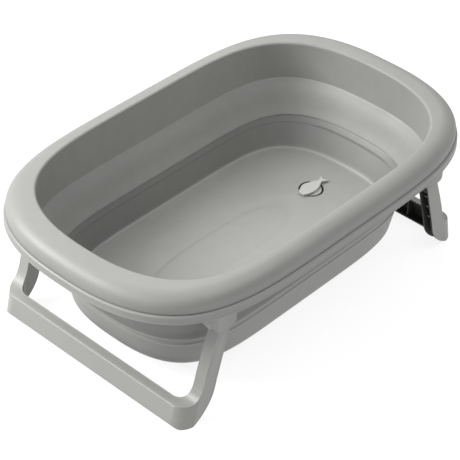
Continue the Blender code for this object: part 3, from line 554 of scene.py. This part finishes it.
def build_pan():
    floor, fillet = PAN_FLOOR, 0.0032
    hole = [(DRAIN_X + DRAIN_R * math.cos(a), DRAIN_R * math.sin(a)) for a in [0] * (4 * Q)]
    edge_ring = grow(floor, -fillet - 0.0010, FLOOR_Z)
    edge = outline(edge_ring)
    hole = []
    for x, y, _ in edge:
        a = math.atan2(y, x - DRAIN_X)
        hole.append((DRAIN_X + DRAIN_R * math.cos(a), DRAIN_R * math.sin(a)))
    loops = []
    loops.append([(x, y, FLOOR_Z - SKIN - 0.0004) for x, y in hole])
    loops.append([(x, y, FLOOR_Z - 0.0010) for x, y in hole])
    n = 64
    for k in range(n + 1):
        t = k / n
        t = t ** 0.85
        loop = []
        for (hx, hy), (ex, ey, _) in zip(hole, edge):
            r0 = 0.0006 if k == 0 else 0.0
            x = hx + (ex - hx) * t + r0 * math.cos(math.atan2(hy, hx - DRAIN_X))
            y = hy + (ey - hy) * t + r0 * math.sin(math.atan2(hy, hx - DRAIN_X))
            near = math.hypot(x - DRAIN_X, y)
            flat = min(1.0, max(0.0, (near - 0.030) / 0.02))
            z = FLOOR_Z - 0.0002 + (floor_height(x, y) - (FLOOR_Z - 0.0002)) * flat
            if k == n:
                z = FLOOR_Z
            loop.append((x, y, z))
        loops.append(loop)
    rings = []
    for k in range(1, 8):
        th = math.radians(60.0 * k / 7)
        rings.append(grow(floor, -fillet * (1 - math.sin(th)) + 0.0012 * k / 7, FLOOR_Z + fillet * (1 - math.cos(th))))
    rings += [mix(floor, PAN_TOP, t) for t in (0.15, 0.3, 0.45, 0.6, 0.74)]
    # fine step below the lip
    lip = [(0.0, -0.0117), (-0.00045, -0.0109), (-0.0004, -0.0085), (-0.0002, -0.0050), (0.0, -0.0020), (0.0, -0.0005), (0.0006, 0.0)]
    for o, dz in lip:
        b = mix(floor, PAN_TOP, (PAN_TOP[4] + dz - FLOOR_Z) / (PAN_TOP[4] - FLOOR_Z))
        rings.append(grow(b, o, PAN_TOP[4] + dz))
    inner_rows = len(loops) + len(rings)
    rings += [grow(PAN_OUT_TOP, -0.0008, PAN_TOP[4]), grow(PAN_OUT_TOP, -0.0001, PAN_TOP[4] - 0.0005), pan_out(0.1180), pan_out(0.1010)]
    rings += [pan_out(0.0950), pan_out(0.0943, 0.0003), pan_out(0.0934, 0.0010), pan_out(0.0924, 0.0013), pan_out(0.0914, 0.0010), pan_out(0.0904, 0.0003), pan_out(0.0896)]
    rings += [pan_out(z) for z in (0.0850, 0.0780, 0.0700, 0.0620, 0.0560)]
    rings.append(pan_out(PAN_BOTTOM + PAN_FOOT_R))
    for k in range(1, 11):
        th = math.radians(9.0 * k)
        rings.append(pan_out(PAN_BOTTOM + PAN_FOOT_R, -PAN_FOOT_R * (1 - math.cos(th)))[:4] + (PAN_BOTTOM + PAN_FOOT_R * (1 - math.sin(th)),))
    base = pan_out(PAN_BOTTOM + PAN_FOOT_R, -PAN_FOOT_R)
    rings += [grow(base, -0.0112, PAN_BOTTOM), grow(base, -0.0120, PAN_BOTTOM + 0.0008), grow(base, -0.0120, PAN_BOTTOM + SKIN)]
    for k in (6, 4, 2, 0):
        th = math.radians(90.0 * k / 6)
        r = PAN_FOOT_R - SKIN
        rings.append(pan_out(PAN_BOTTOM + PAN_FOOT_R, -PAN_FOOT_R + r * math.cos(th))[:4] + (PAN_BOTTOM + PAN_FOOT_R - r * math.sin(th),))
    rings += [pan_out(0.0970, -SKIN - 0.0003), grow(mix(floor, PAN_TOP, (0.0970 - FLOOR_Z) / (PAN_TOP[4] - FLOOR_Z)), SKIN + 0.0008, 0.0970),
              grow(floor, SKIN + 0.0002, FLOOR_Z + 0.0035), grow(floor, 0.0, FLOOR_Z - SKIN + 0.0008), grow(floor, -0.0020, FLOOR_Z - SKIN)]
    under = grow(floor, -0.0020, FLOOR_Z - SKIN)
    u_edge = outline(under)
    tail = []
    for t in (0.66, 0.33, 0.0):
        tail.append([(hx + (ex - hx) * t, hy + (ey - hy) * t, FLOOR_Z - SKIN - 0.0004) for (hx, hy), (ex, ey, _) in zip(hole, u_edge)])
    ob = loft("pan_shell", loops + rings + tail, closed=True)
    stands_for(ob, "base", "pan", "pan_plastic", "base_pan")
    # outside faces take the outside grey; the inside keeps the darker painted-shade copy with its painted-light floor
    ob.data.materials.append(M["pan_out"])
    for f in ob.data.polygons:
        f.material_index = 1 if f.index // (4 * Q) >= inner_rows else 0

    g = 0.0004
    clamp = [pan_out(0.1084, g), pan_out(0.1265, g), pan_out(0.1272, g + 0.0006), pan_out(0.1290, g + 0.0016), pan_out(0.1296, g + 0.0026),
             pan_out(0.1298, g + 0.0032), pan_out(0.1296, g + 0.0037), pan_out(0.1290, g + 0.0038), pan_out(0.1265, 0.0041), pan_out(0.1190, 0.0039), pan_out(0.1138, 0.0037),
             pan_out(0.1130, 0.0039), pan_out(0.1121, 0.0046), pan_out(0.1111, 0.0049), pan_out(0.1101, 0.0047), pan_out(0.1092, 0.0041), pan_out(0.1085, 0.0034), pan_out(0.1084, 0.0026)]
    stands_for(loft("clamp_ring", clamp), "base", "pan_out", "pan_plastic", "band_clamp")


# ---------------------------------------------------------------- drain
def build_drain():
    r = DRAIN_R - 0.0003
    top = FLOOR_Z - 0.0004
    under = FLOOR_Z - 0.0035
    p = [(0.0090, 0.0524), (0.0094, 0.0520), (r - 0.0010, 0.0520), (r, 0.0530), (r, under - 0.0030), (0.0281, under - 0.0030), (0.0285, under - 0.0026), (0.0285, under - 0.0004), (0.0281, under),
         (r, under), (r, top - 0.0004), (r - 0.0003, top), (0.0219, top), (0.0217, top - 0.0003), (0.0212, top - 0.0060), (0.0170, top - 0.0098), (0.0166, top - 0.0104), (0.0166, 0.0564), (0.0162, 0.0560), (0.0094, 0.0560), (0.0090, 0.0556)]
    # the drain cup's near-black stands in for the shade in the gap round the plug: painted shade
    stands_for(turned("drain_cup", p, (DRAIN_X, 0, 0)), "base", "seat", "seat_plastic", "drain_seat")

    top = FLOOR_Z + 0.0002
    pr = PLUG_R - 0.0008
    p = [(0, 0.0615), (0.0128, 0.0615), (0.0135, 0.0622), (0.0135, 0.0640), (0.0162, 0.0640), (pr - 0.0010, top - 0.0048), (pr, top - 0.0030), (pr, top - 0.0010), (pr - 0.0003, top - 0.0003),
         (pr - 0.0010, top), (0.0140, top), (0.0134, top + 0.0004), (0.0125, top + 0.0016), (0, top + 0.0016)]
    disc = turned("plug_disc", p, (DRAIN_X, 0, 0))
    stands_for(disc, "plug", "plug", "plug_plastic", "drain_plug")
    body = [(-0.0275, 0.0062), (-0.0180, 0.0108), (-0.0070, 0.0128), (0.0040, 0.0120), (0.0140, 0.0088), (0.0215, 0.0042), (0.0262, 0.0036), (0.0365, 0.0098)]
    side = smoothed(body[:-1], 2)
    side = side[:-1] + [(0.0262, 0.0036), (0.0300, 0.0062), (0.0362, 0.0098), (0.0358, 0.0080), (0.0340, 0.0035)]
    pts = side + [(0.0330, 0.0)] + [(x, -y) for x, y in reversed(side)]
    grip = prism("plug_grip", [(DRAIN_X + x, y) for x, y in pts], top + 0.0008, top + 0.0050, "Z")
    grip = softened(grip, 0.0009, 3, 30.0)
    stands_for(grip, "plug", "plug", "plug_plastic")
    p = [(0.0138, 0.0622), (0.0150, 0.0617), (0.0158, 0.0618), (0.0162, 0.0624), (0.0162, 0.0631), (0.0158, 0.0636), (0.0150, 0.0637), (0.0138, 0.0636)]
    stands_for(turned("seal_ring", p, (DRAIN_X, 0, 0)), "plug", "seal", "seal_rubber", "plug_seal")


# ---------------------------------------------------------------- legs
def arm_front(z):
    return 0.2763 + 0.3525 * (0.1600 - z)


def arm_back(z):
    return 0.2484 + 0.2990 * (0.1600 - z)


ARM_CURVE = smoothed([(arm_front(0.1600), 0.1600), (0.2860, 0.1330), (0.2935, 0.1120), (0.2990, 0.0950), (0.3022, 0.0840), (0.3045, 0.0750), (0.3070, 0.0672),
                      (0.3104, 0.0598), (0.3150, 0.0533), (0.3208, 0.0483), (0.3275, 0.0453), (0.3345, 0.0440)], 2)


def leg_side():
    top = arc(HINGE_U, HINGE_Z, LUG_R, 200, 20, 16)
    toe = smoothed([(0.3345, 0.0440), (0.3420, 0.0435), (0.3466, 0.0424), (0.3480, 0.0395), (0.3488, 0.0360)], 2)[1:]
    toe += arc(LEG_TOE_U, LEG_BOTTOM + LEG_TOE_R, LEG_TOE_R, 12, -90, 12)
    heel = smoothed([(0.3270, LEG_BOTTOM), (0.3200, 0.0046), (0.3128, 0.0086), (0.3038, 0.0153), (0.2953, 0.0237), (0.2885, 0.0327), (0.2828, 0.0430), (0.2788, 0.0552), (arm_back(0.0720), 0.0720)], 2)
    return top + ARM_CURVE + toe + heel + [(arm_back(0.1600), 0.1600)]


def leg_cavity_side():
    w = LEG_WALL
    front = [(arm_front(0.1465) - w, 0.1465)] + smoothed([(0.2829, 0.1322), (0.2904, 0.1112), (0.2959, 0.0943), (0.2992, 0.0833), (0.3016, 0.0742), (0.3043, 0.0659),
             (0.3080, 0.0581), (0.3130, 0.0510), (0.3196, 0.0456), (0.3270, 0.0424), (0.3343, 0.0410)], 1)
    toe = [(0.3412, 0.0402), (0.3438, 0.0392), (0.3453, 0.0372)] + arc(LEG_TOE_U, LEG_BOTTOM + LEG_TOE_R, LEG_TOE_R - w, 12, -90, 6)
    return front + toe + [(0.2450, LEG_BOTTOM + w), (0.2350, 0.1465)]


def leg_outer_plan(inset=0.0, steps=18):
    yo, r, f = LEG_OUT_Y - inset, LEG_R_OUT - inset, LEG_FRONT - inset
    return [(0.1700, -yo)] + arc(f - r, -yo + r, r, -90, 0, steps) + arc(f - r, yo - r, r, 0, 90, steps) + [(0.1700, yo)]


def leg_window_plan():
    yi, b, r = LEG_IN_Y, LEG_BACK, LEG_R_IN
    return [(0.1500, -yi)] + arc(b - r, -yi + r, r, -90, 0, 12) + arc(b - r, yi - r, r, 0, 90, 12) + [(0.1500, yi)]


def leg_cavity_window():
    yi = LEG_IN_Y + LEG_WALL
    half = [(0.1500, yi), (0.3130, yi), (0.3200, yi - 0.0035), (0.3262, yi - 0.0095), (0.3285, yi - 0.0160)]
    return half + [(u, -v) for u, v in reversed(half)]


def leaned(ob, sx):
    for v in ob.data.vertices:
        v.co.x -= sx * LEG_LEAN * (v.co.z - LEG_BOTTOM - LEG_TOE_R)
    return ob


def in_poly(x, y, poly):
    hit = False
    for (ax, ay), (bx, by) in zip(poly, poly[1:] + poly[:1]):
        if (ay > y) != (by > y) and x < (bx - ax) * (y - ay) / (by - ay) + ax:
            hit = not hit
    return hit


def painted_shade_faces(ob, sx):
    """Painted shade: faces of the channel's unlit hollow and of its open back edge take the near-black hollow material;
    small rib-end faces keep the leg material.
    """
    front, outer, window = leg_cavity_side(), leg_outer_plan(LEG_WALL), leg_cavity_window()
    for f in ob.data.polygons:
        c, n = f.center, f.normal
        u, y, v = sx * (c.x + n.x * 0.0006), c.y + n.y * 0.0006, c.z + n.z * 0.0006
        back_lean = u + LEG_LEAN * (v - LEG_BOTTOM - LEG_TOE_R)
        hollow = in_poly(u, v, front) and in_poly(back_lean, y, outer) and not in_poly(u, y, window)
        edge = sx * n.x < -0.55 and v < 0.1495
        rib_edge = hollow and sx * n.x < -0.55 and f.area < 8e-5 and v > 0.05
        f.material_index = 0 if rib_edge else 1 if hollow or edge else 0


def build_leg(side, sx, body):
    def m(poly):
        return [(sx * u, v) for u, v in poly]
    ob = prism("leg", m(leg_side()), -LEG_OUT_Y - 0.01, LEG_OUT_Y + 0.01, "Y")
    ob = boolean(ob, leaned(prism("plan", m(leg_outer_plan()), -0.02, 0.21, "Z"), sx), "INTERSECT")
    ob = boolean(ob, prism("window", m(leg_window_plan()), -0.02, 0.21, "Z"), "DIFFERENCE")
    thin = [(0.2200, LUG_FOOT_Z), (arm_back(LUG_FOOT_Z), LUG_FOOT_Z), (0.2530, LUG_SHOULDER_Z), (0.3100, LUG_SHOULDER_Z), (0.3100, 0.2100), (0.2200, 0.2100)]
    ob = boolean(ob, prism("thin", m(thin), -LEG_LUG_IN_Y, LEG_LUG_IN_Y, "Y"), "DIFFERENCE")
    swing = turned("swing", [(0, -LEG_LUG_IN_Y), (0.0162, -LEG_LUG_IN_Y), (0.0162, LEG_LUG_IN_Y), (0, LEG_LUG_IN_Y)], (sx * HINGE_U, 0, HINGE_Z), "Y", 48)
    ob = boolean(ob, swing, "DIFFERENCE")
    cav = prism("cav", m(leg_cavity_side()), -LEG_OUT_Y - 0.02, LEG_OUT_Y + 0.02, "Y")
    cav = boolean(cav, leaned(prism("cavplan", m(leg_outer_plan(LEG_WALL)), -0.03, 0.20, "Z"), sx), "INTERSECT")
    cav = boolean(cav, prism("cavwindow", m(leg_cavity_window()), -0.04, 0.22, "Z"), "DIFFERENCE")
    ob.data.materials.append(M["leg"])
    # second material: near-black painted shade for the hollow
    ob.data.materials.append(M["hollow"])
    for z in (0.0700, 0.0960, 0.1220):
        for sy in (-1, 1):
            a, b = sorted((sy * (LEG_IN_Y + 0.001), sy * (LEG_OUT_Y - 0.001)))
            rib = prism("rib", m([(arm_back(z) + 0.0090, z + 0.0040), (arm_front(z) + 0.002, z - 0.0040), (arm_front(z) + 0.002, z - 0.0062), (arm_back(z) + 0.0090, z + 0.0018)]), a, b, "Y")
            cav = boolean(cav, rib, "DIFFERENCE")
    for y in (-0.120, -0.040, 0.040, 0.120):
        rib = box("rib", *sorted((sx * 0.3335, sx * 0.3535)), y - 0.0011, y + 0.0011, 0.001, 0.046)
        cav = boolean(cav, rib, "DIFFERENCE")
    ob = boolean(ob, cav, "DIFFERENCE")
    painted_shade_faces(ob, sx)
    ob = softened(ob, 0.0008, 2, 40.0, 32.0)
    ob.name = "leg_frame_" + side
    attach(ob, body)
    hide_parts("leg_" + side)
    return ob


build_rim()
build_ring()
build_band()
build_pan()
build_drain()
build_leg("left", -1, "left_leg")
build_leg("right", 1, "right_leg")
for name, ob in NODES.items():
    if name.startswith("ring_screw") or name.startswith("hinge_pin"):
        paint(ob, "steel")
    elif name.startswith("foot_pad"):
        paint(ob, "rubber")


# ---------------------------------------------------------------- floor, light, camera
def floor():
    me = bpy.data.meshes.new("studio_floor")
    s = 9.0
    me.from_pydata([(-s, -s, -0.0004), (s, -s, -0.0004), (s, s, -0.0004), (-s, s, -0.0004)], [], [(0, 1, 2, 3)])
    ob = bpy.data.objects.new("studio_floor", me)
    bpy.context.scene.collection.objects.link(ob)
    m = bpy.data.materials.new("floor_paper")
    m.use_nodes = True
    p = m.node_tree.nodes["Principled BSDF"]
    p.inputs["Base Color"].default_value = (0.93, 0.93, 0.93, 1)
    p.inputs["Roughness"].default_value = 0.95
    p.inputs["Specular IOR Level"].default_value = 0.1
    p.inputs["Emission Color"].default_value = (1, 1, 1, 1)
    p.inputs["Emission Strength"].default_value = 0.86
    t = m.node_tree.nodes.new("ShaderNodeTexNoise")
    t.inputs["Scale"].default_value = 3.0
    r = m.node_tree.nodes.new("ShaderNodeMapRange")
    r.inputs["To Min"].default_value, r.inputs["To Max"].default_value = 0.17, 0.20
    m.node_tree.links.new(t.outputs["Fac"], r.inputs["Value"])
    m.node_tree.links.new(r.outputs["Result"], p.inputs["Base Color"])
    me.materials.append(m)


def area(name, at, target, size, power, size_y=None):
    d = bpy.data.lights.new(name, "AREA")
    d.energy, d.size = power, size
    if size_y:
        d.shape, d.size_y = "RECTANGLE", size_y
    o = bpy.data.objects.new(name, d)
    o.location = at
    o.rotation_euler = (Vector(target) - Vector(at)).to_track_quat("-Z", "Y").to_euler()
    bpy.context.scene.collection.objects.link(o)
    return o


floor()
def dome(name, azimuth, elevation, power, size=1.6, distance=3.0):
    a, e = math.radians(azimuth), math.radians(elevation)
    at = Vector((distance * math.cos(e) * math.cos(a), distance * math.cos(e) * math.sin(a), distance * math.sin(e) + 0.1))
    o = area(name, at, (0, 0, 0.12), size, power)
    o.data.shape = "DISK"
    return o


dome("key_softbox", 135, 35, 134)
dome("left_softbox", 180, 35, 15)
dome("back_overhead", 60, 62, 26)
dome("back_side", 45, 35, 16)
dome("front_overhead", 300, 62, 26)

w = bpy.data.worlds.new("studio")
bpy.context.scene.world = w
w.use_nodes = True
w.node_tree.nodes["Background"].inputs["Color"].default_value = (1, 1, 1, 1)
w.node_tree.nodes["Background"].inputs["Strength"].default_value = 0.60

cam = bpy.data.cameras.new("camera")
cam.lens, cam.sensor_width, cam.sensor_fit = 134.657, 36.0, "HORIZONTAL"
cam.clip_start, cam.clip_end = 0.05, 50.0
co = bpy.data.objects.new("camera", cam)
bpy.context.scene.collection.objects.link(co)
back = Vector((-0.584, -0.5207, 0.6228)).normalized()
right = Vector((0.6797, -0.7330, 0.0246))
right = (right - back * right.dot(back)).normalized()
up = back.cross(right)
rot = Matrix((right, up, back)).transposed()
co.matrix_world = Matrix.Translation((-1.7307, -1.5293, 1.9294)) @ rot.to_4x4()
bpy.context.scene.camera = co
bpy.context.scene.view_settings.view_transform = "Standard"
bpy.context.scene.view_settings.look = "None"
